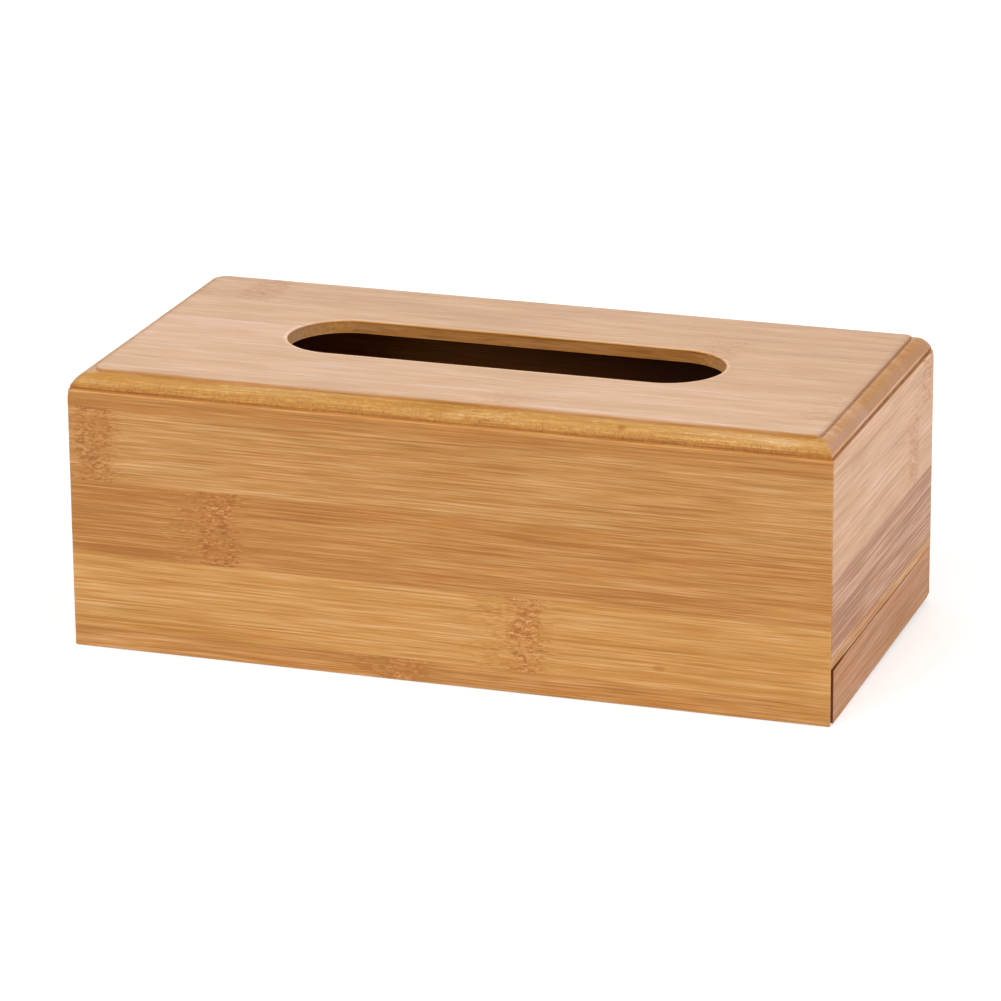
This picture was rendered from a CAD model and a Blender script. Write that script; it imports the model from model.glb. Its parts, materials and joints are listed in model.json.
"""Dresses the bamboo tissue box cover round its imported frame.

Every strip of bamboo is modelled as its own closed mesh with eased edges and gets its own bamboo finish. The
strips are grouped as the boards that a maker glues up: four walls, the top board with its slot and bead, and
the sliding base with its pull strip. Sizes are in millimetres until a mesh is made, which is in metres.
"""

import json
import logging
import math
from dataclasses import dataclass, field, replace
from enum import Enum
from functools import reduce
from typing import Callable, Sequence

import bmesh
import bpy
from mathutils import Matrix, Vector


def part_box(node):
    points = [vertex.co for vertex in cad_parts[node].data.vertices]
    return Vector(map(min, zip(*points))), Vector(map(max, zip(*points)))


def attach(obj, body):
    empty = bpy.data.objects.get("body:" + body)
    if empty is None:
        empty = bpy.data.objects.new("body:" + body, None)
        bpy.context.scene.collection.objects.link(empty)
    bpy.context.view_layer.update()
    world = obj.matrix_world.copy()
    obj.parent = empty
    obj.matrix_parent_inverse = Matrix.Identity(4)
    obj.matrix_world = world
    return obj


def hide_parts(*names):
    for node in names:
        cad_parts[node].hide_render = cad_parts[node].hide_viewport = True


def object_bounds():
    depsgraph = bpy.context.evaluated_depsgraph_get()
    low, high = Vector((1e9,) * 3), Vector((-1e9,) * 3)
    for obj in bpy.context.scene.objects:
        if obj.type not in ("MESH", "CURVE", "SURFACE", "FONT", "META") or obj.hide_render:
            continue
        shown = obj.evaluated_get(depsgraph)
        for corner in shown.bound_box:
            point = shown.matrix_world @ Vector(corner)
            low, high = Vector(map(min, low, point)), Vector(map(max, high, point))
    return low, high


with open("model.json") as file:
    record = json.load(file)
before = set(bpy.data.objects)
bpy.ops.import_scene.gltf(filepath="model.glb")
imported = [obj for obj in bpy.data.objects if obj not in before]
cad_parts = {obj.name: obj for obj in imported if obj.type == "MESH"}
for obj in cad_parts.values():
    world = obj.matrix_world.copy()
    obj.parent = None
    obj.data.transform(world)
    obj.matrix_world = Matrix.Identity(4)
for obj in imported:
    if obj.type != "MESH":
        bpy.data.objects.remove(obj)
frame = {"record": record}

Point = tuple[float, float, float]
Flat = tuple[float, float]
Colour = tuple[float, float, float]

MM = 0.001
WELD = 1e-4
CORNER_STEPS = 4
CAD_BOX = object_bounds()
HALF_L, HALF_W = (round(reach / MM, 3) for reach in CAD_BOX[1][:2])
SLOTS = {row["node"]: row["material_slot"] for row in frame["record"]["subparts"]}

log = logging.getLogger("tissue_box_cover")


class Side(Enum):
    """Side of the box that a wall closes, as quarter turns from the front."""

    FRONT = 0
    RIGHT = 1
    BACK = 2
    LEFT = 3


class Grain(Enum):
    """Way that the fibres of a strip run, as the number of their axis."""

    ALONG_LENGTH = 0
    ALONG_DEPTH = 1


class Rides(Enum):
    """Edge of a board that a point of its section follows."""

    NONE = 0
    UPPER = 1
    LOWER = 2


class Feature(Enum):
    """Noises in the bamboo: length and width of their spots in mm, shift, and number of finer layers."""

    WANDER = (120.0, 18.0, 0.0, 1.0)
    CURL = (6.0, 2.0, 5.0, 1.0)
    FINE_FIBRE = (10.0, 0.36, 0.0, 2.0)
    FIBRE = (22.0, 0.62, 2.0, 2.0)
    HAIR = (42.0, 0.50, 6.0, 1.0)
    STREAK = (70.0, 3.6, 4.0, 2.0)
    CLOUD = (45.0, 13.0, 9.0, 1.0)
    HUE = (24.0, 3.0, 15.0, 2.0)
    TORN_EDGE = (14.0, 1.1, 1.0, 2.0)
    KNOT = (2.7, 0.95, 3.0, 2.0)
    KNOT_CLUMP = (6.0, 4.5, 31.0, 1.0)
    END_DOT = (60.0, 0.85, 8.0, 0.0)
    END_CLOUD = (30.0, 3.4, 11.0, 2.0)
    END_BLUSH = (40.0, 8.5, 17.0, 1.0)
    STAIN = (7.0, 2.0, 13.0, 2.0)
    BEAD_TICK = (0.7, 1.5, 21.0, 1.0)
    BEAD_FLECK = (3.0, 0.7, 23.0, 2.0)
    SLOT_PORE = (9.0, 0.9, 27.0, 1.0)


def arc(centre: Flat, radius: float, start: float, end: float, steps: int) -> list[Flat]:
    """Walks along a circle from one angle to another, in degrees, and gives the points with both ends."""
    angles = [math.radians(start + (end - start) * k / steps) for k in range(steps + 1)]
    return [(centre[0] + radius * math.cos(a), centre[1] + radius * math.sin(a)) for a in angles]


def divide(start: Flat, end: Flat, steps: int) -> list[Flat]:
    """Divides a straight run into even steps and gives the points without the last."""
    return [tuple(a + (b - a) * k / steps for a, b in zip(start, end)) for k in range(steps)]


def extent(node: str) -> tuple[Vector, Vector]:
    """Gives the lowest and highest corner of a CAD node in millimetres."""
    low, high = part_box(node)
    return low / MM, high / MM


def linked(name: str, data: bpy.types.ID) -> bpy.types.Object:
    """Makes an object of a mesh, a lamp or a camera and puts it in the scene."""
    thing = bpy.data.objects.new(name, data)
    bpy.context.scene.collection.objects.link(thing)
    return thing


def skin(name: str, rings: Sequence[Sequence[Point]], crease: float = 28.0) -> bpy.types.Object:
    """Makes a closed mesh from a row of rings and caps both ends.

    Args:
        name: Name of the piece.
        rings: Closed outlines with the same number of points each, in millimetres.
        crease: Angle in degrees over which an edge stays sharp.

    Returns:
        The new object, at the origin.
    """
    count = len(rings[0])
    shape = bmesh.new()
    verts = [shape.verts.new(point) for ring in rings for point in ring]
    for i in range(len(rings) - 1):
        for j in range(count):
            k = (j + 1) % count
            corners = [i * count + j, i * count + k, (i + 1) * count + k, (i + 1) * count + j]
            shape.faces.new([verts[c] for c in corners])
    caps = [shape.faces.new(verts[:count][::-1]), shape.faces.new(verts[-count:])]
    shape.normal_update()
    bmesh.ops.triangulate(shape, faces=caps, ngon_method="EAR_CLIP")
    bmesh.ops.remove_doubles(shape, verts=shape.verts, dist=WELD)
    bmesh.ops.recalc_face_normals(shape, faces=shape.faces)
    for face in shape.faces:
        face.smooth = True
    for edge in shape.edges:
        edge.smooth = edge.is_manifold and edge.calc_face_angle() < math.radians(crease)
    mesh = bpy.data.meshes.new(name)
    shape.to_mesh(mesh)
    shape.free()
    mesh.transform(Matrix.Scale(MM, 4))
    piece = linked(name, mesh)
    flats = piece.modifiers.new("flat faces stay flat", "WEIGHTED_NORMAL")
    flats.keep_sharp = True
    return piece


@dataclass(frozen=True)
class SectionPoint:
    """Point of a board's section: how far in it lies, its height and its share of the corner's rounding.

    The height is measured from the edge that it rides on, or else from the ground.
    """

    inset: float
    z: float
    worn: float = 0.0
    rides: Rides = Rides.NONE


def shares(steps: int, length: float, low: Sequence[float] = (), high: Sequence[float] = ()) -> list[float]:
    """Divides a board's length for its rings, with closer rings near a knocked end.

    Args:
        steps: Number of even steps.
        length: Length of the board.
        low: Distances of the closer rings from the low end.
        high: Distances of the closer rings from the high end.

    Returns:
        Places from 0 to 1, without the ends.
    """
    near, far = max(low, default=0.0) / length, 1 - max(high, default=0.0) / length
    even = [k / steps for k in range(1, steps) if near < k / steps < far]
    return sorted([*even, *(d / length for d in low), *(1 - d / length for d in high)])


def mitred_rings(section: Sequence[SectionPoint], tips: Flat, radii: Callable[[int, float], float],
                 places: Sequence[float],
                 edges: dict[Rides, Callable[[float], float]] | None = None) -> list[list[Point]]:
    """Sweeps a section along a board whose ends are mitred and whose outer corners are rounded.

    Args:
        section: The section's points.
        tips: Places of the two mitres' tips.
        radii: Gives the corner's radius for an end, 0 or 1, and a height.
        places: Places from 0 to 1 of the rings between the rounded ends.
        edges: Gives the height of an uneven edge for a place along the board.

    Returns:
        Rings of place along the board, inset and height.
    """
    heights = {Rides.NONE: lambda _: 0.0, **(edges or {})}
    turns = [math.radians(45.0 * (1 - k / CORNER_STEPS)) for k in range(CORNER_STEPS + 1)]
    first = 1 - math.sin(turns[0])

    def end_ring(end: int, turn: float) -> list[Point]:
        """Places the section at one step of a rounded end."""
        way = 1 if end == 0 else -1
        ring: list[Point] = []
        for point in section:
            radius = radii(end, point.z)
            s, inset = radius * (1 - math.sin(turn)), radius * (1 - math.cos(turn))
            along = tips[end] + way * (point.inset + s - (1 - point.worn) * radius * first)
            ring.append((along, point.inset + point.worn * inset, point.z))
        return ring

    low = [end_ring(0, turn) for turn in turns]
    high = [end_ring(1, turn) for turn in reversed(turns)]
    inner = []
    for share in places:
        pairs = zip(low[-1], high[0])
        inner.append([(a[0] * (1 - share) + b[0] * share, a[1], a[2]) for a, b in pairs])
    return [[(a, d, z + heights[point.rides](a)) for (a, d, z), point in zip(ring, section)]
            for ring in low + inner + high]


def turned(point: Point, side: Side, reach: float) -> Point:
    """Turns a point on the front wall to another side of the box.

    Args:
        point: Place along the wall, inset and height.
        side: Side that the wall closes.
        reach: Distance from the middle of the box to the wall's outer face.

    Returns:
        The place in the box.
    """
    along, inset, z = point
    x, y = along, inset - reach
    for _ in range(side.value):
        x, y = -y, x
    return (x, y, z)


class Signal:
    """Value that a material works out at every point of a surface, with the usual arithmetic."""

    def __init__(self, graph: "Graph", socket: bpy.types.NodeSocket) -> None:
        """Wraps the output of a node."""
        self.graph, self.socket = graph, socket

    def __add__(self, other: "Value") -> "Signal":
        """Adds a value."""
        return self.graph.math("ADD", self, other)

    def __mul__(self, other: "Value") -> "Signal":
        """Multiplies by a value."""
        return self.graph.math("MULTIPLY", self, other)

    def __sub__(self, other: "Value") -> "Signal":
        """Takes a value away."""
        return self.graph.math("SUBTRACT", self, other)

    def __rsub__(self, other: float) -> "Signal":
        """Takes this value from a number."""
        return self.graph.math("SUBTRACT", other, self)

    def __pow__(self, power: float) -> "Signal":
        """Raises to a power."""
        return self.graph.math("POWER", self, power)

    def __abs__(self) -> "Signal":
        """Drops the sign."""
        return self.graph.math("ABSOLUTE", self)

    __radd__, __rmul__ = __add__, __mul__

    def centred(self, factor: float) -> "Signal":
        """Moves a noise to either side of zero and scales it."""
        return self.graph.math("MULTIPLY_ADD", self, factor, -0.5 * factor)

    def step(self, low: float, high: float) -> "Signal":
        """Rises smoothly from nothing to one, or falls where the second place is the lower one.

        Args:
            low: Value where the step begins.
            high: Value where it ends.

        Returns:
            The share from 0 to 1.
        """
        ends = (0.0, 1.0) if high > low else (1.0, 0.0)
        inputs = {"Value": self, "From Min": min(low, high), "From Max": max(low, high),
                  "To Min": ends[0], "To Max": ends[1]}
        return self.graph.out("MapRange", inputs, interpolation_type="SMOOTHSTEP")

    def window(self, rise: Flat, fall: Flat) -> "Signal":
        """Gives one between a rise and a fall, and nothing outside them."""
        return self.step(*rise) * self.step(*fall)


Value = float | Signal


class Graph:
    """Writes the nodes of a procedural material or of the world."""

    def __init__(self, owner: bpy.types.Material | bpy.types.World) -> None:
        """Empties the node tree of a material or world."""
        owner.use_nodes = True
        self.tree = owner.node_tree
        self.tree.nodes.clear()

    def node(self, kind: str, inputs: dict[str | int, object], **settings: object) -> bpy.types.Node:
        """Adds a node.

        Args:
            kind: Blender's name for the node type, without the word ShaderNode.
            inputs: Signals or plain values for its inputs, by name or number.
            settings: Properties to set on it.

        Returns:
            The node.
        """
        node = self.tree.nodes.new("ShaderNode" + kind)
        for key, value in settings.items():
            setattr(node, key, value)
        for key, value in inputs.items():
            if isinstance(value, Signal):
                self.tree.links.new(value.socket, node.inputs[key])
            else:
                node.inputs[key].default_value = value
        return node

    def outs(self, kind: str, inputs: dict[str | int, object], **settings: object) -> list[Signal]:
        """Adds a node and gives all of its outputs."""
        return [Signal(self, socket) for socket in self.node(kind, inputs, **settings).outputs]

    def out(self, kind: str, inputs: dict[str | int, object], number: int = 0, **settings: object) -> Signal:
        """Adds a node and gives one of its outputs."""
        return self.outs(kind, inputs, **settings)[number]

    def math(self, kind: str, *values: Value) -> Signal:
        """Adds a Math node with Blender's name for its operation."""
        return self.out("Math", dict(enumerate(values)), operation=kind)

    def highest(self, *values: Value) -> Signal:
        """Picks the highest value."""
        return reduce(lambda first, second: self.math("MAXIMUM", first, second), values)

    def vector(self, x: Value, y: Value, z: Value) -> Signal:
        """Joins three values."""
        return self.out("CombineXYZ", {0: x, 1: y, 2: z})

    def blend(self, share: Value, first: object, second: object, kind: str = "MIX") -> Signal:
        """Mixes a share of the second colour into the first, by Blender's name for the blend."""
        return self.out("Mix", {0: share, 6: first, 7: second}, 2, data_type="RGBA", blend_type=kind)

    def dyed(self, colour: object, tint: object) -> Signal:
        """Multiplies a colour by a tint."""
        return self.blend(1.0, colour, tint, "MULTIPLY")

    def lerp(self, share: Value, first: Value, second: Value) -> Signal:
        """Mixes a share of the second number into the first."""
        return self.out("Mix", {0: share, 2: first, 3: second}, data_type="FLOAT")


@dataclass(frozen=True)
class Knuckle:
    """Place where the culm had a joint: a ragged band of short, curled fibres across a strip.

    The fibres on its left are wavy over the length of lead.
    """

    at: float
    half_width: float = 5.5
    strength: float = 1.0
    lead: float = 20.0


@dataclass(frozen=True)
class Patch:
    """Soft, streaky patch that is lighter or darker than the rest of its strip."""

    along: float
    across: float
    half_along: float
    half_across: float
    tone: float


@dataclass(frozen=True)
class EdgeShape:
    """Outer shape of the box from the rim up, as insets from its sides.

    The knocked corners are rounded more just under the bead, from knock_drop below its foot up.
    """

    foot_z: float = 88.7
    ledge: float = 0.7
    bead_r: float = 5.3
    shoulder: float = 1.0
    arris: float = 0.3
    crown_arris: float = 0.4
    bead_steps: int = 22
    crown_steps: int = 4
    corner_r: float = 0.5
    knock_r: float = 1.0
    knocked: tuple[int, ...] = (0, 2)
    knock_drop: float = 3.2
    knock_rise: float = 2.9
    unevenness: float = 0.22
    ripples: tuple[Flat, Flat] = ((0.41, 2.1), (0.17, 0.7))
    knock_levels: tuple[float, ...] = (2.8, 2.1, 1.4, 0.7)

    def corner_radius(self, corner: int, z: float) -> float:
        """Radius of an upright corner, which hand sanding leaves uneven and a knock rounds under the bead.

        Args:
            corner: Its number, from 0 at the front left round to 3 at the back left.
            z: Height.

        Returns:
            The radius.
        """
        (fast, stride), (slow, shift) = self.ripples
        uneven = 1 + self.unevenness * math.sin(fast * z + stride * corner) * math.sin(slow * z + shift)
        radius = self.corner_r * uneven
        if corner in self.knocked and z <= self.foot_z:
            share = min(1.0, max(0.0, (z - self.foot_z + self.knock_drop) / self.knock_rise))
            radius += self.knock_r * share * share * (3 - 2 * share)
        return radius if z <= self.foot_z else self.corner_r

    @property
    def inset(self) -> float:
        """Distance from a side to the shoulder over the bead."""
        return self.ledge + self.bead_r

    @property
    def top_z(self) -> float:
        """Height of the flat top."""
        return self.foot_z + self.bead_r + self.shoulder

    def bead_angle(self, z: float) -> float:
        """Angle on the bead at a height, in degrees."""
        return math.degrees(math.asin(min(1.0, (z - self.foot_z) / self.bead_r)))

    def inset_at(self, z: float) -> float:
        """Finds how far the outside has drawn in at a height on the bead or over it.

        Args:
            z: Height over the bead's foot.

        Returns:
            The inset.
        """
        bead_top = self.foot_z + self.bead_r
        if z <= bead_top:
            return self.inset - math.sqrt(max(0.0, self.bead_r ** 2 - (z - self.foot_z) ** 2))
        rise = z - (self.top_z - self.crown_arris)
        if rise <= 0:
            return self.inset
        return self.inset + self.crown_arris - math.sqrt(max(0.0, self.crown_arris ** 2 - rise ** 2))

    def crown_levels(self, low: float) -> list[float]:
        """Lists the heights, from the top board's underside up, at which it needs an outline."""
        bead = [z for _, z in arc((0, self.foot_z), self.bead_r, self.bead_angle(low), 90.0, self.bead_steps)]
        start = self.top_z - self.crown_arris
        return bead + [z for _, z in arc((0, start), self.crown_arris, 0.0, 90.0, self.crown_steps)]


@dataclass(frozen=True)
class SlotShape:
    """Plan of the tissue slot: a straight run with two round ends."""

    run: float = 56.25
    radius: float = 19.25


EDGE = EdgeShape()
SLOT = SlotShape()


@dataclass(frozen=True)
class Fibres:
    """Coordinates that run along a strip's fibres, in millimetres."""

    graph: Graph
    along: Signal
    beside: Signal
    up: Signal
    seed: float
    strides: Point = (7.13, 3.71, 1.93)

    def place(self, feature: Feature, bend: Value = 0.0, stretch: float = 1.0) -> Signal:
        """Stretches the coordinates to the size of a feature.

        Args:
            feature: The feature.
            bend: Sideways wander of the fibres.
            stretch: How many times longer the feature is here.

        Returns:
            The vector.
        """
        length, width, shift, _ = feature.value
        a, b, c = (self.seed * stride for stride in self.strides)
        return self.graph.vector(self.along * (1.0 / (length * stretch)) + (a + shift),
                                 (self.beside + bend) * (1.0 / width) + (b + shift),
                                 (self.up + bend) * (1.0 / width) + (c - shift))

    def noise(self, feature: Feature, bend: Value = 0.0, stretch: float = 1.0, roughness: float = 0.55,
              twist: float = 0.0) -> Signal:
        """Adds smooth noise round 0.5, with the strength of its finer layers and its distortion."""
        inputs = {"Vector": self.place(feature, bend, stretch), "Scale": 1.0, "Detail": feature.value[-1],
                  "Roughness": roughness, "Distortion": twist}
        return self.graph.out("TexNoise", inputs, noise_dimensions="3D")


class Marks:
    """Marks of the maker's tools. Each method gives the share of the colour that a mark takes or adds."""

    def __init__(self, fibres: Fibres, at: Sequence[Signal], facing_up: Signal) -> None:
        """Finds where a point lies on the box.

        Args:
            fibres: Coordinates along the strip's fibres.
            at: Place in the box, in millimetres.
            facing_up: How far the surface faces up, from -1 to 1.
        """
        g = self.graph = fibres.graph
        self.fibres, self.facing_up = fibres, facing_up
        self.x, self.y, self.z = at
        side_x, side_y = HALF_L - abs(self.x), HALF_W - abs(self.y)
        self.side, self.far_side = g.math("MINIMUM", side_x, side_y), g.highest(side_x, side_y)
        self.inset = self.side - EDGE.inset
        self.rise, self.drop = self.z - EDGE.foot_z, EDGE.top_z - self.z
        self.at_end = (side_y - side_x).step(-0.5, 0.5)
        self.patchy = fibres.noise(Feature.STAIN)
        self.past_run = g.highest(abs(self.x) - SLOT.run, 0.0)
        self.from_slot = (self.past_run * self.past_run + self.y * self.y) ** 0.5 - SLOT.radius
        self.slot_wall = self.from_slot.step(0.3, 0.1) * self.rise.step(0.0, 1.0) * self.drop.step(0.2, 0.5)

    def router_lines(self) -> Signal:
        """Darkens the bead's foot and its shoulder in patches, most at the ends of the box.

        Returns:
            The stain.
        """
        side, at_end = self.side, self.at_end
        rise = self.rise + (0.45 * at_end - 0.35)
        foot = rise.step(-0.05, 0.25) * (rise - 0.4 * at_end).step(0.9, 0.5) * (0.30 + 0.35 * at_end)
        foot = foot * side.step(0.1, 0.4) * side.step(EDGE.ledge + 1.2, EDGE.ledge + 0.8)
        shoulder = self.inset.window((-0.25, -0.1), (0.3, 0.2)) * (0.07 + 0.06 * at_end)
        shoulder = shoulder * self.rise.step(4.9, 5.35) * self.drop.step(0.1, 0.4)
        return self.graph.highest(foot, shoulder) * (1.0 + self.patchy.centred(1.2))

    def crown(self) -> Signal:
        """Darkens the top's rim beside the shoulder, most at the ends of the box."""
        return self.inset.step(2.6, 0.2) * self.drop.step(0.5, 0.3) * (0.05 + 0.17 * self.at_end)

    def slot_browning(self) -> Signal:
        """Browns the slot's wall, most at its upper rim."""
        return self.slot_wall * (0.16 + self.drop.step(1.3, 0.7) * (0.12 + self.patchy.centred(0.5)))

    def inside(self) -> Signal:
        """Darkens the walls' inner faces, most at the right, where little light falls."""
        walls = self.inset.step(-0.1, -0.02) * self.z.step(19.2, 34.0) * self.drop.step(4.3, 4.45)
        return walls * (0.54 + 0.34 * self.x.step(-50.0, 50.0))

    def glue(self, across: Signal, lines: Sequence[float]) -> list[Signal]:
        """Draws each glue line at its place across the strip."""
        return [abs(across - line).step(0.20, 0.04) * 0.12 for line in lines]

    def sawn_faces(self, half_length: float, shift: float) -> Signal:
        """Darkens the pull strip's mitres and upper edge, for the look of its gap and its seam.

        Args:
            half_length: Half length of the strip between its tips.
            shift: Place of its middle, with the sign changed.

        Returns:
            The stain.
        """
        inset_x, inset_y = HALF_L - self.x, half_length - abs(self.y + shift)
        mitre = (inset_y - inset_x).step(0.5, 0.15) * inset_x.step(0.0, 0.1) * 0.97
        return self.graph.highest(mitre, self.facing_up.step(0.6, 0.9) * inset_x.step(0.2, 0.6) * 0.6)

    def sanded(self) -> Signal:
        """Bares light wood on the walls' upper arrises, the upright corners and the slot's two rims.

        Returns:
            How much lighter the wood is.
        """
        arris = self.rise.window((-0.7, -0.35), (0.1, 0.0)) * (1.0 - 0.6 * self.at_end)
        corner = self.far_side.step(0.75, 0.35) * 0.3
        upper_rim = self.from_slot.step(1.5, 0.9) * self.drop.step(0.45, 0.3) * 1.5
        lower_rim = self.from_slot.step(0.4, 0.2) * self.rise.step(0.0, 1.0) * self.drop.step(4.0, 4.2)
        bare = self.graph.highest(arris, corner, upper_rim, lower_rim)
        return bare * (0.22 + self.patchy.centred(0.25))

    def varnished(self, colour: Signal) -> Signal:
        """Tints the long beads amber, with ticks and flecks, and lightens the slot's round ends.

        Args:
            colour: Colour of the stained bamboo.

        Returns:
            The colour that is seen.
        """
        g, noise = self.graph, self.fibres.noise
        long_bead = self.inset.step(0.0, -0.6) * self.rise.step(0.0, 0.5) * (1.0 - self.at_end)
        low_bead = long_bead * self.rise.step(3.6, 2.2)
        amber = g.blend(low_bead, (1.0, 0.99, 0.62, 1.0), (0.95, 0.92, 0.46, 1.0))
        ticks = noise(Feature.BEAD_TICK).step(0.44, 0.74) * (0.4 + low_bead)
        spots = 0.98 - 0.13 * ticks + 0.17 * noise(Feature.BEAD_FLECK).step(0.50, 0.70)
        amber = g.dyed(amber, g.vector(spots, spots * spots, spots * spots))
        colour = g.blend(long_bead, colour, g.dyed(colour, amber))
        pores = 1.0 - 0.22 * noise(Feature.SLOT_PORE).step(0.52, 0.68)
        wall = g.blend(self.past_run.step(3.0, 14.0), (1.07, 1.0, 0.92, 1.0), (1.30, 1.34, 0.98, 1.0))
        wall = g.dyed(wall, g.vector(pores, pores, pores))
        return g.blend(self.slot_wall, colour, g.dyed(colour, wall))


@dataclass(frozen=True)
class Layers:
    """What the long grain hands on to the colour, the gloss and the relief."""

    tone: Signal
    relief: Signal
    fine: Signal
    fibre: Signal
    band: Value = 0.0
    pits: Value = 0.0


@dataclass(frozen=True)
class BambooFinish:
    """Lacquered bamboo: long fibres, a ragged knuckle, dotted end grain and the marks of the maker's tools.

    The law says how strongly red, green and blue follow the tone of the fibres.
    """

    grain: Grain
    seed: float
    tone: Colour
    level: float = 1.0
    streaks: float = 0.9
    mottle: float = 1.0
    depth: float = 0.62
    law: Colour = (0.58, 1.0, 2.4)
    wave: float = 1.3
    stretch: float = 1.6
    dullness: float = 0.38
    knuckle: Knuckle | None = None
    patches: tuple[Patch, ...] = ()
    glue_lines: tuple[float, ...] = ()
    across: str = "z"
    sawn_ends: float = 0.0
    sawn_shift: float = 0.0
    ior: float = 1.5
    bump_strength: float = 0.4
    bump_depth: float = 0.06

    def shade(self, factor: float) -> tuple[float, ...]:
        """Darkens or lightens the tone as the fibres do, and adds the alpha."""
        return (*(min(0.95, c * factor ** power) for c, power in zip(self.tone, self.law)), 1.0)

    def material(self, name: str) -> bpy.types.Material:
        """Writes the material.

        Args:
            name: Name of the piece that it dresses.

        Returns:
            The material.
        """
        material = bpy.data.materials.new(name + "_bamboo")
        g = Graph(material)
        coords = g.node("TexCoord", {}).outputs
        place = g.out("VectorMath", {0: Signal(g, coords["Object"]), "Scale": 1.0 / MM}, operation="SCALE")
        x, y, z = g.outs("SeparateXYZ", {0: place})
        facing = g.outs("SeparateXYZ", {0: Signal(g, coords["Normal"])})
        axis = self.grain.value
        fibres = Fibres(g, (x, y)[axis], (y, x)[axis], z, self.seed)
        across = z if self.across == "z" else y
        grain, end = self.long_grain(fibres, across), abs(facing[axis]).step(0.25, 0.85)
        marks = Marks(fibres, (x, y, z), facing[2])
        colour = self.end_grain(fibres, self.coloured(fibres, grain), end)
        on_bead = marks.rise.step(-0.2, 0.2) * marks.drop.step(0.9, 1.3)
        dull = self.dullness + grain.fine.centred(-0.16) + grain.fibre.centred(-0.12)
        dull = dull + 0.10 * end + 0.06 * grain.band + 0.24 * on_bead
        bump = g.out("Bump", {"Strength": self.bump_strength, "Distance": self.bump_depth * MM,
                              "Height": grain.relief})
        shader = g.out("BsdfPrincipled", {"Base Color": self.marked(marks, colour, across), "Roughness": dull,
                                          "IOR": self.ior, "Normal": bump})
        g.node("OutputMaterial", {"Surface": shader})
        return material

    def long_grain(self, f: Fibres, across: Signal) -> Layers:
        """Writes the fibres, hair lines, streaks, patches and the knuckle.

        Args:
            f: Coordinates along the fibres.
            across: Coordinate across the strip.

        Returns:
            The layers of the grain.
        """
        k, m, reach = self.streaks, self.mottle, self.stretch
        bend = f.noise(Feature.WANDER).centred(self.wave)
        if self.knuckle:
            band, near = self.knuckle_masks(f, self.knuckle)
            curl = f.noise(Feature.CURL).centred(2.6) * near
            bend = bend + curl
        fine = f.noise(Feature.FINE_FIBRE, bend, reach, 0.6)
        fibre = f.noise(Feature.FIBRE, bend, reach, 0.6)
        hair = f.noise(Feature.HAIR, bend, reach).step(0.54, 0.66)
        streak = f.noise(Feature.STREAK, bend, reach)
        tone = 0.55 + fine.centred(1.25 * k) + fibre.centred(1.80 * k) + hair * (-0.38 * k)
        tone = tone + streak.centred(0.50 * m) + f.noise(Feature.CLOUD).centred(0.34 * m)
        tone = self.patched(f, tone, across, streak)
        relief = 0.5 * fine + 0.6 * fibre - 0.3 * hair
        if not self.knuckle:
            return Layers(tone, relief, fine, fibre)
        knot = f.noise(Feature.KNOT, 1.5 * curl, 1.0, 0.6, 0.8)
        dense = f.noise(Feature.KNOT_CLUMP).step(0.36, 0.62)
        flecks = (0.42 * knot.step(0.52, 0.74) - 1.5 * knot.step(0.52, 0.32)) * (0.45 + 0.85 * dense)
        knot_tone = 0.50 + flecks + fibre.centred(1.1) + fine.centred(0.9)
        tone = f.graph.lerp(band, tone, knot_tone) - 0.09 * near
        pits = knot.step(0.48, 0.31) * band * dense
        return Layers(tone, relief + 1.2 * knot * band, fine, fibre, band, pits)

    def knuckle_masks(self, f: Fibres, knuckle: Knuckle) -> tuple[Signal, Signal]:
        """Marks where the knuckle is.

        Args:
            f: Coordinates along the fibres.
            knuckle: The knuckle.

        Returns:
            The ragged band itself, and the wider zone round it where fibres bend.
        """
        half, reach = knuckle.half_width, f.along - knuckle.at
        torn = reach + f.noise(Feature.TORN_EDGE, roughness=0.65).centred(9.0)
        band = torn.window((-half - 1.2, -half + 1.6), (half + 0.7, half - 0.9))
        near = reach.window((-half - knuckle.lead, -half), (half + 7.0, half - 1.0))
        return band * knuckle.strength, near * knuckle.strength

    def patched(self, f: Fibres, tone: Signal, across: Signal, streak: Signal) -> Signal:
        """Adds the patches to the tone.

        Args:
            f: Coordinates along the fibres.
            tone: Tone of the fibres.
            across: Coordinate across the strip.
            streak: Noise that makes the patches' edges streaky.

        Returns:
            The tone with its patches.
        """
        for patch in self.patches:
            a = (f.along - patch.along) * (1 / patch.half_along)
            b = (across - patch.across) * (1 / patch.half_across)
            reach = (a * a + b * b) ** 0.5 + streak.centred(0.9)
            tone = tone + reach.step(1.15, 0.45) * patch.tone
        return tone

    def coloured(self, f: Fibres, grain: Layers) -> Signal:
        """Turns the tone into a colour, from the darkest fibres to the lightest.

        Args:
            f: Coordinates along the fibres.
            grain: Layers of the grain.

        Returns:
            The colour of the long grain.
        """
        ramp = f.graph.node("ValToRGB", {0: grain.tone})
        stops = ramp.color_ramp.elements
        for position in (0.25, 0.5, 0.75):
            stops.new(position)
        for stop in stops:
            stop.color = self.shade(self.level * self.depth ** (1 - 2 * stop.position))
        hue, band, pits = f.noise(Feature.HUE).centred(0.30 + 0.12 * self.mottle), grain.band, grain.pits
        tint = f.graph.vector(1.0 - 0.28 * hue - 0.14 * pits, 1.0 + 0.16 * hue - 0.045 * band - 0.24 * pits,
                              1.0 + hue - 0.22 * pits)
        return f.graph.dyed(Signal(f.graph, ramp.outputs[0]), tint)

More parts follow.
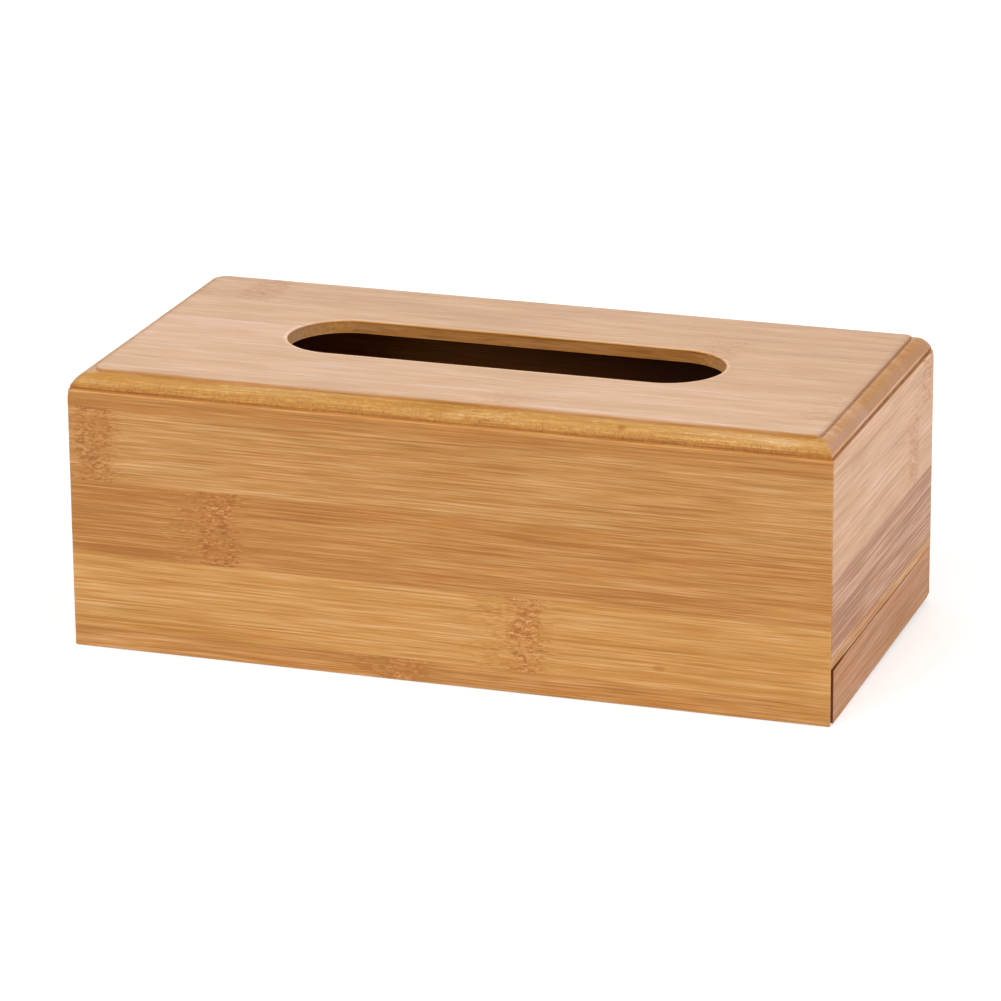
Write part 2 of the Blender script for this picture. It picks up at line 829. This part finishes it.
    def end_grain(self, f: Fibres, colour: Signal, end: Signal) -> Signal:
        """Darkens the ends of the fibres and dots them.

        Args:
            f: Coordinates along the fibres.
            colour: Colour of the long grain.
            end: Share of end grain that a point faces with.

        Returns:
            The colour with its end grain.
        """
        g = f.graph
        cells = g.out("TexVoronoi", {"Vector": f.place(Feature.END_DOT), "Scale": 1.0}, feature="F1",
                      voronoi_dimensions="3D")
        shade = 0.90 - 0.06 * cells.step(0.45, 0.15) + f.noise(Feature.END_CLOUD).centred(0.17)
        blush = f.noise(Feature.END_BLUSH).centred(1.0)
        plain = g.blend(0.85, colour, self.shade(self.level ** 0.4))
        tint = g.vector(shade, shade * (1.07 + 0.12 * blush), shade * (2.0 + 0.8 * blush))
        return g.blend(end, colour, g.dyed(plain, tint))

    def marked(self, marks: Marks, colour: Signal, across: Signal) -> Signal:
        """Adds the marks of the maker's tools.

        Args:
            marks: Where they are.
            colour: Colour of the bamboo.
            across: Coordinate across the strip.

        Returns:
            The stained and varnished colour.
        """
        g = marks.graph
        stains = [marks.router_lines(), marks.slot_browning(), marks.crown(), marks.inside(),
                  *marks.glue(across, self.glue_lines)]
        if self.sawn_ends:
            stains.append(marks.sawn_faces(self.sawn_ends, self.sawn_shift))
        rest = 1.0 - (g.highest(*stains) - marks.sanded())
        return marks.varnished(g.dyed(colour, g.vector(rest ** 0.85, rest ** 1.2, rest ** 1.9)))


@dataclass
class Board:
    """Glued-up board: a set of strips that ride on one body and replace their CAD nodes."""

    body: str
    finishes: dict[str, BambooFinish] = field(default_factory=dict)

    def place(self, piece: bpy.types.Object) -> None:
        """Dresses a strip and puts it in its CAD node's place.

        Args:
            piece: The strip's mesh object, named after its CAD node and the word board.
        """
        node = piece.name.removesuffix("_board")
        piece.data.materials.append(self.finishes[node].material(node))
        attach(piece, self.body)
        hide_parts(node)
        log.info("%s: %d faces on %s", piece.name, len(piece.data.polygons), self.body)


@dataclass
class WallBoard(Board):
    """Mitred wall of bamboo strips, grooved inside where it carries the base."""

    side: Side = Side.FRONT
    wall_t: float = 6.0
    groove: tuple[float, float] = (5.7, 10.3)
    groove_left: float = 3.0
    pitch: float = 9.0
    face_pitch: float = 4.0
    back_knock: float = 3.6
    bead_wear: float = 0.6
    knock_steps: int = 8
    foot_steps: int = 4
    arris_steps: int = 5
    bead_steps: int = 6

    @property
    def half_run(self) -> float:
        """Half length of the wall."""
        return HALF_W if self.side.value % 2 else HALF_L

    @property
    def reach(self) -> float:
        """Distance from the middle of the box to the wall's outer face."""
        return HALF_L if self.side.value % 2 else HALF_W

    @property
    def foot_knock(self) -> float:
        """Radius that the end of the wall's lower edge is knocked round with."""
        return self.back_knock if self.side is Side.BACK else 0.0

    def build(self) -> None:
        """Builds every strip of the wall from the rim up."""
        steps = self.knock_steps
        closer = [self.foot_knock * k / steps for k in range(1, steps + 2)] if self.foot_knock else []
        places = shares(math.ceil(2 * self.half_run / self.pitch), 2 * self.half_run, low=closer)
        for node in self.finishes:
            low, high = extent(node)
            points = self.section(low.z, high.z, node == min(self.finishes))
            rings = mitred_rings(points, (-self.half_run, self.half_run), self.radius, places,
                                 {Rides.LOWER: self.foot_height})
            turned_rings = [[turned(point, self.side, self.reach) for point in ring] for ring in rings]
            self.place(skin(node + "_board", turned_rings))

    def radius(self, end: int, z: float) -> float:
        """Radius of the upright corner at the wall's left end, 0, or right end, 1, seen from outside."""
        return EDGE.corner_radius((self.side.value + end) % 4, z)

    def foot_height(self, along: float) -> float:
        """Height of the wall's lower edge, whose left end, seen from outside, may be knocked round."""
        past = min(self.foot_knock, max(0.0, self.foot_knock - self.half_run - along))
        return self.foot_knock - math.sqrt(self.foot_knock ** 2 - past ** 2)

    def section(self, low: float, high: float, lowest: bool) -> list[SectionPoint]:
        """Draws a strip's section, square to the wall.

        Args:
            low: Height of its lower face.
            high: Height of its upper face.
            lowest: Whether its lower edge is the wall's free edge.

        Returns:
            The points from the lower outer edge round.
        """
        outer: list[Flat] = [(0.0, low)]
        foot = 0
        if lowest:
            outer = arc((EDGE.arris, low + EDGE.arris), EDGE.arris, 270.0, 180.0, self.foot_steps)
            foot = len(outer)
        carries_bead = high > EDGE.foot_z
        face_top = EDGE.foot_z - EDGE.arris if carries_bead else high
        start = outer[-1][1]
        rises = max(2, round((face_top - start) / self.face_pitch))
        outer += [(0.0, start + (face_top - start) * k / rises) for k in range(1, rises)]
        if carries_bead:
            levels = [face_top - drop for drop in EDGE.knock_levels]
            outer += [(0.0, z) for z in levels if z > outer[-1][1] + 0.1]
            outer += arc((EDGE.arris, face_top), EDGE.arris, 180.0, 90.0, self.arris_steps)
            end = 180.0 - EDGE.bead_angle(high)
            bead = arc((EDGE.inset, EDGE.foot_z), EDGE.bead_r, 180.0, end, self.bead_steps)
            worn = [SectionPoint(d, z, 1.0) for d, z in outer]
            worn += [SectionPoint(d, z, self.bead_wear) for d, z in bead]
        else:
            worn = [SectionPoint(d, z, 1.0) for d, z in [*outer, (0.0, high)]]
        wall, cut = self.wall_t, self.groove_left
        bottom, top = self.groove
        inner: list[Flat] = [(wall, high), (wall, low)]
        if self.side is not Side.RIGHT and low < top and high > bottom:
            inner = [(wall, high), (wall, top), (cut, top)] if high > top else [(cut, high)]
            inner += [(cut, bottom), (wall, bottom), (wall, low)] if low < bottom else [(cut, low)]
        section = worn + [SectionPoint(d, z) for d, z in inner]
        if lowest:
            section[:foot] = [replace(point, rides=Rides.LOWER) for point in section[:foot]]
            section[-1] = replace(section[-1], rides=Rides.LOWER)
        return section


@dataclass
class TopBoard(Board):
    """Top board of bamboo strips, with the bead round its edge and the slot for the tissues."""

    under: float = 90.5
    rim_r: float = 0.4
    under_arris: float = 0.15
    foot_corners: tuple[float, ...] = (1.6, 0.4, 1.0, 1.0)
    crown_corners: tuple[float, ...] = (4.0, 2.2, 1.8, 2.8)
    square_r: float = 0.02
    largest_share: float = 0.4
    peak_gaps: Flat = (0.02, 0.015)
    left_wear: Flat = (0.9, 0.4)
    long_steps: int = 28
    end_steps: int = 3
    slot_steps: int = 12
    side_steps: int = 6
    corner_steps: int = 8
    rim_steps: int = 5
    notch_steps: int = 14
    beside_steps: int = 16

    def build(self) -> None:
        """Builds the strips from the front edge back."""
        for node in sorted(self.finishes):
            low, high = extent(node)
            rings = [self.outline(low, high, z) for z in self.levels(high.z)]
            self.place(skin(node + "_board", rings))

    def levels(self, high: float) -> list[float]:
        """Lists the heights of a strip's outlines.

        Args:
            high: Height of the strip's highest point in the CAD.

        Returns:
            The heights, from the underside up.
        """
        rim = arc((0, EDGE.top_z - self.rim_r), self.rim_r, 0.0, 90.0, self.rim_steps)
        kept: list[float] = []
        heights = {*EDGE.crown_levels(self.under), *(z for _, z in rim), self.under + self.under_arris}
        for z in sorted(heights):
            if z <= high + 1e-3 and (not kept or z - kept[-1] > 1e-4):
                kept.append(z)
        if high < EDGE.top_z - 0.1:
            kept = [z for z in kept if z < high - self.peak_gaps[0]] + [high - self.peak_gaps[1]]
        return kept

    def slot_radius(self, z: float) -> float:
        """Half width of the slot at a height, with its eased rims."""
        rise = max(0.0, z - (EDGE.top_z - self.rim_r))
        upper = self.rim_r - math.sqrt(max(0.0, self.rim_r ** 2 - rise ** 2))
        lower = max(0.0, self.under + self.under_arris - z)
        return SLOT.radius + upper + lower

    def slot_x(self, radius: float, y: float) -> float:
        """Distance from the middle to the slot's end at a glue line."""
        return SLOT.run + math.sqrt(max(0.0, radius ** 2 - y ** 2))

    def outline(self, low: Vector, high: Vector, z: float) -> list[Point]:
        """Draws the outline of a strip at one height. Those behind the slot are drawn as if before it.

        Args:
            low: The strip's lowest corner.
            high: Its highest corner.
            z: The height.

        Returns:
            The outline.
        """
        inset, radius = EDGE.inset_at(z), self.slot_radius(z)
        x, bead = HALF_L - inset, inset - HALF_W
        way = 1 if low.y < 0 else -1
        near, far = (low.y, high.y) if way > 0 else (-high.y, -low.y)
        front = max(near, bead)
        if low.y * high.y < 0:
            flat = self.beside_slot(-1 if high.x < 0 else 1, x, front, far, radius)
        elif radius > -far:
            flat = [*self.sides(x, front, far), *self.notch(x, far, radius)]
        else:
            corners = self.bead_corners(z, (0, 1) if way > 0 else (3, 2), near < bead)
            flat = self.rounded(x, front, far, corners)
        return [(a + self.worn_left(a + x, way * b, z), way * b, z) for a, b in flat]

    def worn_left(self, from_end: float, y: float, z: float) -> float:
        """Sands the left shoulder further in than the others, most at the front.

        Args:
            from_end: Distance of a point from the left end of its outline.
            y: Place across the box.
            z: Height.

        Returns:
            How far the point moves in.
        """
        bead_top = EDGE.foot_z + EDGE.bead_r
        rise = min(1.0, max(0.0, (z - self.under) / (bead_top - self.under)))
        share = (y + HALF_W) / (2 * HALF_W)
        near = from_end < max(self.crown_corners) + 0.5
        return (self.left_wear[0] * (1 - share) + self.left_wear[1] * share) * rise * rise if near else 0.0

    def bead_corners(self, z: float, ends: tuple[int, int], on_bead: bool) -> Flat:
        """Radii of two corners in plan, which grow from the bead's foot to the shoulder.

        Args:
            z: Height.
            ends: The corners, from 0 at the front left round to 3 at the back left.
            on_bead: Whether the outline reaches the bead there.

        Returns:
            The radii.
        """
        if not on_bead:
            return (self.square_r, self.square_r)
        share = min(1.0, (z - self.under) / (EDGE.bead_r / 2))
        low, high = self.foot_corners, self.crown_corners
        return tuple(low[end] + (high[end] - low[end]) * share for end in ends)

    def sides(self, x: float, front: float, back: float) -> list[Flat]:
        """Draws a strip's left end, front and right end, up to its back right corner."""
        return [
            *divide((-x, back), (-x, front), self.end_steps),
            *divide((-x, front), (x, front), self.long_steps),
            *divide((x, front), (x, back), self.end_steps),
        ]

    def notch(self, x: float, back: float, radius: float) -> list[Flat]:
        """Draws the back edge of a strip that the slot cuts into, from right to left.

        Args:
            x: Half length of the outline.
            back: Place of the glue line.
            radius: Half width of the slot.

        Returns:
            The points.
        """
        angle = math.degrees(math.asin(back / radius))
        reach = self.slot_x(radius, back)
        right = arc((SLOT.run, 0.0), radius, angle, -90.0, self.notch_steps)
        left = arc((-SLOT.run, 0.0), radius, -90.0, -180.0 - angle, self.notch_steps)
        straight = divide(right[-1], left[0], self.slot_steps)[1:]
        beside = divide((x, back), (reach, back), self.side_steps)
        beyond = [(-a, back) for a, _ in reversed(beside[1:])]
        return [*beside, *right, *straight, *left, *beyond]

    def beside_slot(self, side: int, x: float, front: float, back: float, radius: float) -> list[Flat]:
        """Draws a middle strip that ends at the slot.

        Args:
            side: -1 for the left strip and 1 for the right.
            x: Half length of the outline.
            front: Place of the front glue line.
            back: Place of the back glue line.
            radius: Half width of the slot.

        Returns:
            The outline.
        """
        low = math.degrees(math.asin(front / radius))
        high = math.degrees(math.asin(back / radius))
        body = [
            *arc((SLOT.run, 0.0), radius, low, high, self.beside_steps),
            *divide((self.slot_x(radius, back), back), (x, back), self.side_steps)[1:],
            *divide((x, back), (x, front), self.end_steps),
            *divide((x, front), (self.slot_x(radius, front), front), self.side_steps),
        ]
        return [(side * a, b) for a, b in body]

    def rounded(self, x: float, front: float, back: float, radii: Flat) -> list[Flat]:
        """Draws a strip with the bead's two corners, or a plain one where the radius is next to nothing.

        Args:
            x: Half length of the outline.
            front: Place of the strip's bead side.
            back: Place of its glue line.
            radii: Radii of its left and right front corners.

        Returns:
            The outline.
        """
        near, far = (min(radius, self.largest_share * (back - front)) for radius in radii)
        left = arc((-x + near, front + near), near, 180.0, 270.0, self.corner_steps)
        right = arc((x - far, front + far), far, 270.0, 360.0, self.corner_steps)
        face = divide(left[-1], right[0], self.long_steps)[1:]
        ends = divide((x, front + far), (x, back), self.end_steps)[1:]
        home = divide((-x, back), (-x, front + near), self.end_steps)
        return [*left, *face, *right, *ends, *divide((x, back), (-x, back), self.long_steps), *home]


@dataclass
class SlidingBase(Board):
    """Base board that runs in the walls' grooves, with the pull strip glued to its end."""

    wall_t: float = 6.0
    housing: tuple[float, float] = (6.0, 10.0)
    housing_d: float = 3.0
    end_arris: float = 0.5
    nose_run: float = 20.0
    nose_drop: float = 1.0
    strip_h: float = 18.6
    tip_gap: float = 0.5
    arris: float = 0.35
    rise: float = 1.9
    rise_start: float = 14.0
    knock_r: float = 2.6
    knock_steps: int = 6
    arris_steps: int = 4
    slat_steps: int = 28
    strip_steps: int = 44

    def build(self) -> None:
        """Builds the base's strips and the pull strip."""
        for node in sorted(self.finishes):
            low, high = extent(node)
            rings = self.pull_rings if node == "pull_strip" else self.slat_rings
            self.place(skin(node + "_board", rings(low, high)))

    def slat_rings(self, low: Vector, high: Vector) -> list[list[Point]]:
        """Sweeps a base strip along the box, with its far end eased.

        Args:
            low: Its lowest corner.
            high: Its highest corner.

        Returns:
            The rings.
        """
        ease, steps = self.end_arris, self.slat_steps
        start = low.x + ease
        xs = [start + (high.x - start) * k / steps for k in range(steps + 1)]
        rings: list[list[Point]] = []
        for x, inset in [*((low.x + a, b) for a, b in self.nose(ease)), *((x, 0.0) for x in xs)]:
            rings.append([(x, low.y, low.z + inset), (x, high.y, low.z + inset),
                          (x, high.y, high.z - inset), (x, low.y, high.z - inset)])
        return rings

    def nose(self, ease: float) -> list[Flat]:
        """Rounds the far end: distance from the tip and inset, without the last point."""
        turns = [math.radians(90.0 * (1 - k / self.arris_steps)) for k in range(self.arris_steps)]
        return [(ease * (1 - math.sin(a)), ease * (1 - math.cos(a))) for a in turns]

    def upper_edge(self, y: float, top: float) -> float:
        """Height of the pull strip's upper edge.

        Args:
            y: Place across the box.
            top: Height of its back end.

        Returns:
            The height.
        """
        nose_end = -HALF_W + self.nose_run
        if y < nose_end:
            return self.strip_h - self.nose_drop * (nose_end - y) / self.nose_run
        return self.strip_h + (top - self.strip_h) * (y - nose_end) / (HALF_W - nose_end)

    def lower_edge(self, y: float, back: float) -> float:
        """Height of the pull strip's lower edge, which rises to the back and is knocked round at its end.

        Args:
            y: Place across the box.
            back: Place of the strip's back end.

        Returns:
            The height.
        """
        share = max(0.0, (y + HALF_W - self.rise_start) / (2 * HALF_W - self.rise_start))
        past = min(self.knock_r, max(0.0, y - back + self.knock_r))
        return self.rise * share + self.knock_r - math.sqrt(self.knock_r ** 2 - past ** 2)

    def pull_rings(self, low: Vector, high: Vector) -> list[list[Point]]:
        """Sweeps the pull strip across the box, with mitred ends.

        Args:
            low: Its lowest corner.
            high: Its highest corner.

        Returns:
            The rings from the front end to the back.
        """
        ease, wall, cut = self.arris, self.wall_t, self.wall_t - self.housing_d
        bottom, top = self.housing
        lower = arc((ease, ease), ease, 270.0, 180.0, self.arris_steps)
        upper = arc((ease, -ease), ease, 180.0, 90.0, self.arris_steps)
        section = [SectionPoint(d, z, 1.0, Rides.LOWER) for d, z in lower]
        section += [SectionPoint(0.0, bottom + (top - bottom) * k / 2, 1.0) for k in range(3)]
        section += [SectionPoint(d, z, 1.0, Rides.UPPER) for d, z in upper]
        groove = [(wall, top), (cut, top), (cut, bottom), (wall, bottom)]
        section += [SectionPoint(wall, 0.0, 0.0, Rides.UPPER), *(SectionPoint(d, z) for d, z in groove),
                    SectionPoint(wall, 0.0, 0.0, Rides.LOWER)]
        tips = (low.y + self.tip_gap, high.y)
        edges = {Rides.UPPER: lambda y: self.upper_edge(y, high.z),
                 Rides.LOWER: lambda y: self.lower_edge(y, high.y)}
        closer = [self.knock_r * k / self.knock_steps for k in range(1, self.knock_steps + 2)]
        places = shares(self.strip_steps, tips[1] - tips[0], high=closer)
        rings = mitred_rings(section, tips, lambda end, z: self.arris, places, edges)
        return [[turned(point, Side.RIGHT, HALF_L) for point in ring] for ring in rings]


@dataclass(frozen=True)
class CameraPlace:
    """Camera fitted to the photograph's edges."""

    at: Point = (0.53284, -1.57385, 0.59436)
    azimuth: float = -18.766
    elevation: float = 18.360
    roll: float = -0.462
    focal_px: float = 5245.1
    frame_px: float = 1001.0
    sensor: float = 36.0
    clip_end: float = 30.0

    def build(self) -> None:
        """Makes the scene's camera."""
        data = bpy.data.cameras.new("photo_camera")
        data.sensor_width = self.sensor
        data.lens = self.focal_px / self.frame_px * self.sensor
        data.clip_end = self.clip_end
        camera = linked("photo_camera", data)
        az, el, roll = (math.radians(v) for v in (self.azimuth, self.elevation, self.roll))
        forward = Vector((math.sin(az) * math.cos(el), math.cos(az) * math.cos(el), -math.sin(el)))
        level = Vector((math.cos(az), -math.sin(az), 0.0))
        right = math.cos(roll) * level + math.sin(roll) * level.cross(forward)
        turn = Matrix((right, right.cross(forward), -forward)).transposed().to_4x4()
        camera.matrix_world = Matrix.Translation(self.at) @ turn
        bpy.context.scene.camera = camera


@dataclass(frozen=True)
class SoftBox:
    """Large square lamp that looks at the object."""

    name: str
    at: Point
    size: float
    watts: float
    aim: Point = (0.0, 0.0, 0.05)

    def build(self) -> None:
        """Makes the lamp."""
        data = bpy.data.lights.new(self.name, "AREA")
        data.shape = "SQUARE"
        data.size = self.size
        data.energy = self.watts
        lamp = linked(self.name, data)
        lamp.location = self.at
        lamp.rotation_euler = (Vector(self.at) - Vector(self.aim)).to_track_quat("Z", "Y").to_euler()


@dataclass(frozen=True)
class Studio:
    """White sweep, soft lamps and the camera."""

    floor_half: float = 6.0
    floor_drop: float = 0.0002
    floor_grey: float = 0.80
    floor_glow: float = 0.42
    sky_strength: float = 0.5
    lamps: tuple[SoftBox, ...] = (
        SoftBox("key_softbox", (-1.2, -2.6, 2.2), 3.0, 74.0),
        SoftBox("fill_softbox", (2.6, -0.4, 1.6), 2.6, 42.0),
        SoftBox("rear_softbox", (-0.6, 1.9, 1.0), 1.5, 6.0),
    )

    def build(self) -> None:
        """Makes the floor, the world, the lamps and the camera."""
        half = self.floor_half
        mesh = bpy.data.meshes.new("studio_floor")
        corners = [(-half, -half), (half, -half), (half, half), (-half, half)]
        mesh.from_pydata([(x, y, -self.floor_drop) for x, y in corners], [], [(0, 1, 2, 3)])
        mesh.materials.append(self.floor_material())
        floor = linked("studio_floor", mesh)
        self.build_world()
        for lamp in self.lamps:
            lamp.build()
        CameraPlace().build()
        bpy.context.scene.view_settings.view_transform = "Standard"

    def seen_share(self, g: Graph) -> Signal:
        """Gives one for a ray from the camera, a reflection or a clear surface, and else nothing."""
        path = g.node("LightPath", {}).outputs
        return g.highest(*(Signal(g, path[f"Is {ray} Ray"]) for ray in ("Camera", "Glossy", "Transmission")))

    def floor_material(self) -> bpy.types.Material:
        """Writes the floor's white, which the camera sees as pure white outside the object's shadow.

        Returns:
            The material.
        """
        material = bpy.data.materials.new("white_sweep")
        g = Graph(material)
        matt = g.out("BsdfDiffuse", {"Color": (self.floor_grey, self.floor_grey, self.floor_grey, 1.0)})
        glow = g.out("Emission", {"Strength": self.seen_share(g) * self.floor_glow})
        g.node("OutputMaterial", {"Surface": g.out("AddShader", {0: matt, 1: glow})})
        return material

    def build_world(self) -> None:
        """Makes the white surroundings, dimmer as a light than as a background."""
        world = bpy.data.worlds.new("white_studio")
        bpy.context.scene.world = world
        g = Graph(world)
        strength = g.lerp(self.seen_share(g), self.sky_strength, 1.0)
        g.node("OutputWorld", {"Surface": g.out("Background", {"Color": (1.0,) * 4, "Strength": strength})})


WALLS = {
    Side.FRONT: "front_wall_strip_",
    Side.RIGHT: "right_end_strip_",
    Side.BACK: "back_wall_strip_",
    Side.LEFT: "left_end_strip_",
}

TONES = {
    "amber_bamboo": (0.498, 0.226, 0.050),
    "golden_bamboo": (0.565, 0.268, 0.062),
    "brown_bamboo": (0.478, 0.200, 0.036),
    "pale_bamboo": (0.529, 0.257, 0.078),
    "rosy_bamboo": (0.590, 0.288, 0.120),
    "streaked_bamboo": (0.440, 0.160, 0.026),
}

KIND_LOOKS: dict[str, dict[str, object]] = {
    "pale_bamboo": {"law": (0.54, 1.0, 3.1), "streaks": 0.45, "mottle": 1.9, "stretch": 1.0, "wave": 1.8},
    "rosy_bamboo": {"law": (0.55, 1.0, 1.95), "streaks": 0.56, "mottle": 2.0, "wave": 0.8},
    "streaked_bamboo": {"law": (0.49, 1.0, 2.9), "wave": 0.5},
}

LOOKS: dict[str, dict[str, object]] = {
    "front_wall_strip_1": {"tone": (0.510, 0.224, 0.047), "streaks": 1.0},
    "front_wall_strip_2": {"streaks": 0.75},
    "front_wall_strip_5": {"level": 0.94, "streaks": 0.70},
    "right_end_strip_1": {"tone": (0.533, 0.246, 0.073), "law": (0.56, 1.0, 2.2), "dullness": 0.55,
                          "streaks": 1.4},
    "right_end_strip_2": {"tone": (0.412, 0.156, 0.034), "law": (0.52, 1.0, 2.5), "streaks": 1.8,
                          "mottle": 1.9, "depth": 0.50, "stretch": 3.0, "wave": 0.3, "dullness": 0.42},
    "right_end_strip_4": {"streaks": 0.7, "level": 0.98},
    "pull_strip": {"tone": (0.441, 0.181, 0.050), "dullness": 0.52, "streaks": 0.9, "mottle": 2.0,
                   "sawn_ends": 62.45, "sawn_shift": -0.95},
    "top_strip_3_left": {"level": 1.07},
    "top_strip_3_right": {"level": 0.79},
    "top_strip_4": {"level": 0.86},
    "top_strip_5": {"level": 0.76},
}

PATCHES = {
    "front_wall_strip_5": (Patch(20.0, 86.5, 150.0, 1.6, -0.10),),
    "front_wall_strip_4": (Patch(95.0, 60.5, 60.0, 1.8, -0.14), Patch(60.0, 66.0, 50.0, 1.5, -0.10),
                           Patch(-20.0, 81.5, 140.0, 1.2, -0.10)),
    "front_wall_strip_3": (Patch(-112.0, 34.6, 30.0, 1.7, -0.30), Patch(-112.0, 47.0, 34.0, 14.0, -0.16),
                           Patch(78.0, 36.5, 42.0, 4.5, -0.22), Patch(40.0, 52.0, 60.0, 2.2, -0.08)),
    "front_wall_strip_2": (Patch(-96.0, 9.2, 52.0, 2.2, -0.22), Patch(29.5, 20.0, 4.5, 13.0, -0.10),
                           Patch(73.0, 13.7, 2.6, 1.0, -0.40)),
    "front_wall_strip_1": (Patch(-14.0, 5.0, 20.0, 4.0, -0.22),),
    "right_end_strip_4": (Patch(-8.0, 81.7, 46.0, 0.7, -0.30), Patch(0.0, 77.6, 60.0, 4.0, -0.06)),
    "right_end_strip_3": (Patch(33.0, 70.0, 2.6, 1.6, -0.22),),
    "top_strip_1": (Patch(112.0, -61.2, 9.0, 1.5, 0.14), Patch(14.0, -61.2, 11.0, 1.5, 0.30),
                    Patch(4.0, -62.4, 4.0, 0.9, 0.25), Patch(59.7, -61.6, 1.6, 0.9, -0.45)),
}

KNUCKLES = {
    "front_wall_strip_4": Knuckle(-121.3, 6.0),
    "front_wall_strip_3": Knuckle(-78.0, 6.0),
    "front_wall_strip_2": Knuckle(27.5, 5.5),
    "front_wall_strip_1": Knuckle(-14.5, 5.0),
    "right_end_strip_3": Knuckle(38.5, 6.0, 0.55),
    "right_end_strip_4": Knuckle(55.0, 6.0, 0.6),
    "top_strip_5": Knuckle(-102.0, 6.0, 0.5),
    "top_strip_4": Knuckle(68.5, 6.0, 0.4),
    "top_strip_1": Knuckle(17.0, 6.0, 0.25),
    "top_strip_2": Knuckle(118.0, 5.0, 0.3),
    "back_wall_strip_1": Knuckle(84.0, 6.5),
    "back_wall_strip_2": Knuckle(-31.0, 6.0),
    "back_wall_strip_3": Knuckle(47.0, 5.5),
    "back_wall_strip_4": Knuckle(-96.0, 6.0),
    "left_end_strip_1": Knuckle(12.0, 6.0),
    "left_end_strip_2": Knuckle(-47.0, 6.5),
    "left_end_strip_4": Knuckle(30.0, 5.5),
    "base_strip_2": Knuckle(-58.0, 6.0),
    "base_strip_3": Knuckle(73.0, 6.5),
    "base_strip_4": Knuckle(-12.0, 6.0),
    "base_strip_5": Knuckle(101.0, 6.0),
}


class Workshop:
    """Deals out bamboo to the boards, each strip with a seed of its own, and builds them."""

    def __init__(self) -> None:
        """Starts at the first seed."""
        self.seed = 1.0

    def finish(self, node: str, grain: Grain, across: str, lines: Sequence[float] = ()) -> BambooFinish:
        """Picks the bamboo for the next strip.

        Args:
            node: CAD node of the strip.
            grain: Way that its fibres run.
            across: Axis that the glue lines are measured on.
            lines: Glue lines of its board.

        Returns:
            The finish.
        """
        low, high = extent(node)
        axis = "xyz".index(across)
        near = tuple(line for line in lines if low[axis] - 0.01 <= line <= high[axis] + 0.01)
        looks = {"tone": TONES[SLOTS[node]], **KIND_LOOKS.get(SLOTS[node], {}), **LOOKS.get(node, {})}
        seed, self.seed = self.seed, self.seed + 1.0
        return BambooFinish(grain=grain, seed=seed, knuckle=KNUCKLES.get(node), patches=PATCHES.get(node, ()),
                            glue_lines=near, across=across, **looks)

    def finishes(self, prefix: str, grain: Grain, across: str) -> dict[str, BambooFinish]:
        """Picks the bamboo for a board, whose strips are glued where their extents end.

        Args:
            prefix: Start of the names of the board's CAD nodes.
            grain: Way that its fibres run.
            across: Axis that its strips follow one another on.

        Returns:
            A finish for each strip, in order.
        """
        nodes = sorted(node for node in SLOTS if node.startswith(prefix))
        ends = sorted({round(extent(node)[1]["xyz".index(across)], 3) for node in nodes})
        return {node: self.finish(node, grain, across, ends[:-1]) for node in nodes}

    def build(self) -> None:
        """Builds the walls, the top and the sliding base."""
        for side, prefix in WALLS.items():
            grain = Grain.ALONG_DEPTH if side.value % 2 else Grain.ALONG_LENGTH
            WallBoard("box", self.finishes(prefix, grain, "z"), side).build()
        TopBoard("box", self.finishes("top_strip_", Grain.ALONG_LENGTH, "y")).build()
        slats = self.finishes("base_strip_", Grain.ALONG_LENGTH, "y")
        slats["pull_strip"] = self.finish("pull_strip", Grain.ALONG_DEPTH, "z")
        SlidingBase("base", slats).build()


def main() -> None:
    """Builds the box and the studio."""
    logging.basicConfig(level=logging.INFO, format="%(name)s: %(message)s")
    Workshop().build()
    Studio().build()


if __name__ == "__main__":
    main()
